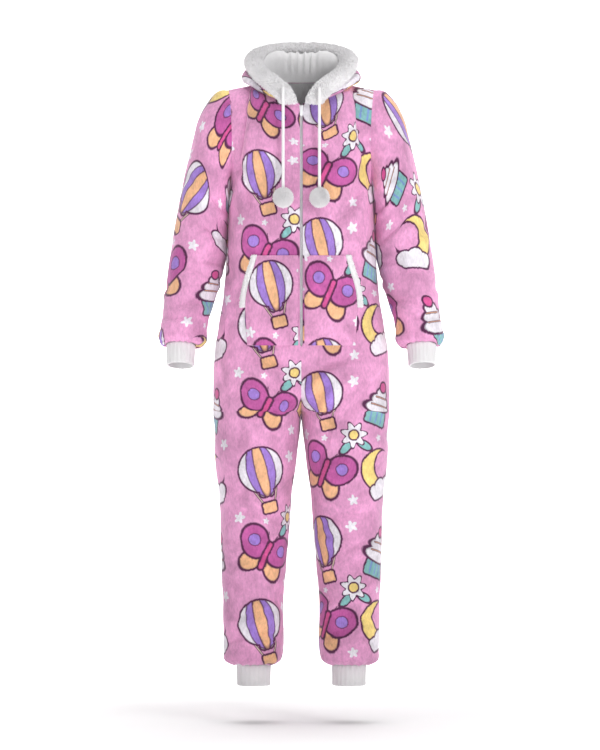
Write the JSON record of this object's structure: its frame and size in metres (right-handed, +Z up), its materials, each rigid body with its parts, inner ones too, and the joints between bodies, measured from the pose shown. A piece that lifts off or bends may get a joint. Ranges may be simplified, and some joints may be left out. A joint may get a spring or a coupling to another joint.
{
  "type": "pajama onesie",
  "caption": "Hooded one-piece pajama in printed pink plush fleece with a front zip, pouch pockets, ribbed cuffs, a white plush hood edge and pompom drawstrings.",
  "frame": {"origin": "the middle of the neck at shoulder height, where the wearer's shoulders hold the garment", "axes": "+Z up along the body, -Y the way the front and its zip face, +X towards the wearer's left"},
  "size_m": [0.6484, 0.3555, 1.4923],
  "materials": {
    "plush_fleece": "soft plush",
    "white_plush": "deep plush",
    "hood_lining": "soft",
    "rib_knit": "rib knit",
    "soft_cord": "soft braid",
    "zip_tape": "woven",
    "zip_metal": "satin"
  },
  "bodies": {
    "garment": {"ankle_cuff_left": "rib_knit", "ankle_cuff_right": "rib_knit", "back_hips_left": "plush_fleece", "back_hips_right": "plush_fleece", "back_left": "plush_fleece", "back_right": "plush_fleece", "back_shin_left": "plush_fleece", "back_shin_right": "plush_fleece", "back_thigh_left": "plush_fleece", "back_thigh_right": "plush_fleece", "back_waist_left": "plush_fleece", "back_waist_right": "plush_fleece", "drawstring_left": "soft_cord", "drawstring_right": "soft_cord", "front_hips_left": "plush_fleece", "front_hips_right": "plush_fleece", "front_left": "plush_fleece", "front_right": "plush_fleece", "front_shin_left": "plush_fleece", "front_shin_right": "plush_fleece", "front_thigh_left": "plush_fleece", "front_thigh_right": "plush_fleece", "front_waist_left": "plush_fleece", "front_waist_right": "plush_fleece", "hood_band": "white_plush", "hood_left": "plush_fleece", "hood_lining_left": "hood_lining", "hood_lining_right": "hood_lining", "hood_right": "plush_fleece", "pocket_binding_left": "white_plush", "pocket_binding_right": "white_plush", "pocket_left": "plush_fleece", "pocket_right": "plush_fleece", "pompom_left": "white_plush", "pompom_right": "white_plush", "sleeve_forearm_left": "plush_fleece", "sleeve_forearm_right": "plush_fleece", "sleeve_left": "plush_fleece", "sleeve_right": "plush_fleece", "wrist_cuff_left": "rib_knit", "wrist_cuff_right": "rib_knit", "zip_slider": "zip_metal", "zip_tape_left": "zip_tape", "zip_tape_right": "zip_tape"},
    "pull_tab": {"zip_pull_tab": "zip_metal"}
  },
  "joints": [
    {"name": "pull_tab_hinge", "type": "hinge", "parent": "garment", "child": "pull_tab", "pos_m": [0, -0.09566, -0.0307], "axis": [-1, 0, 0], "range_deg": [0, 120]}
  ]
}
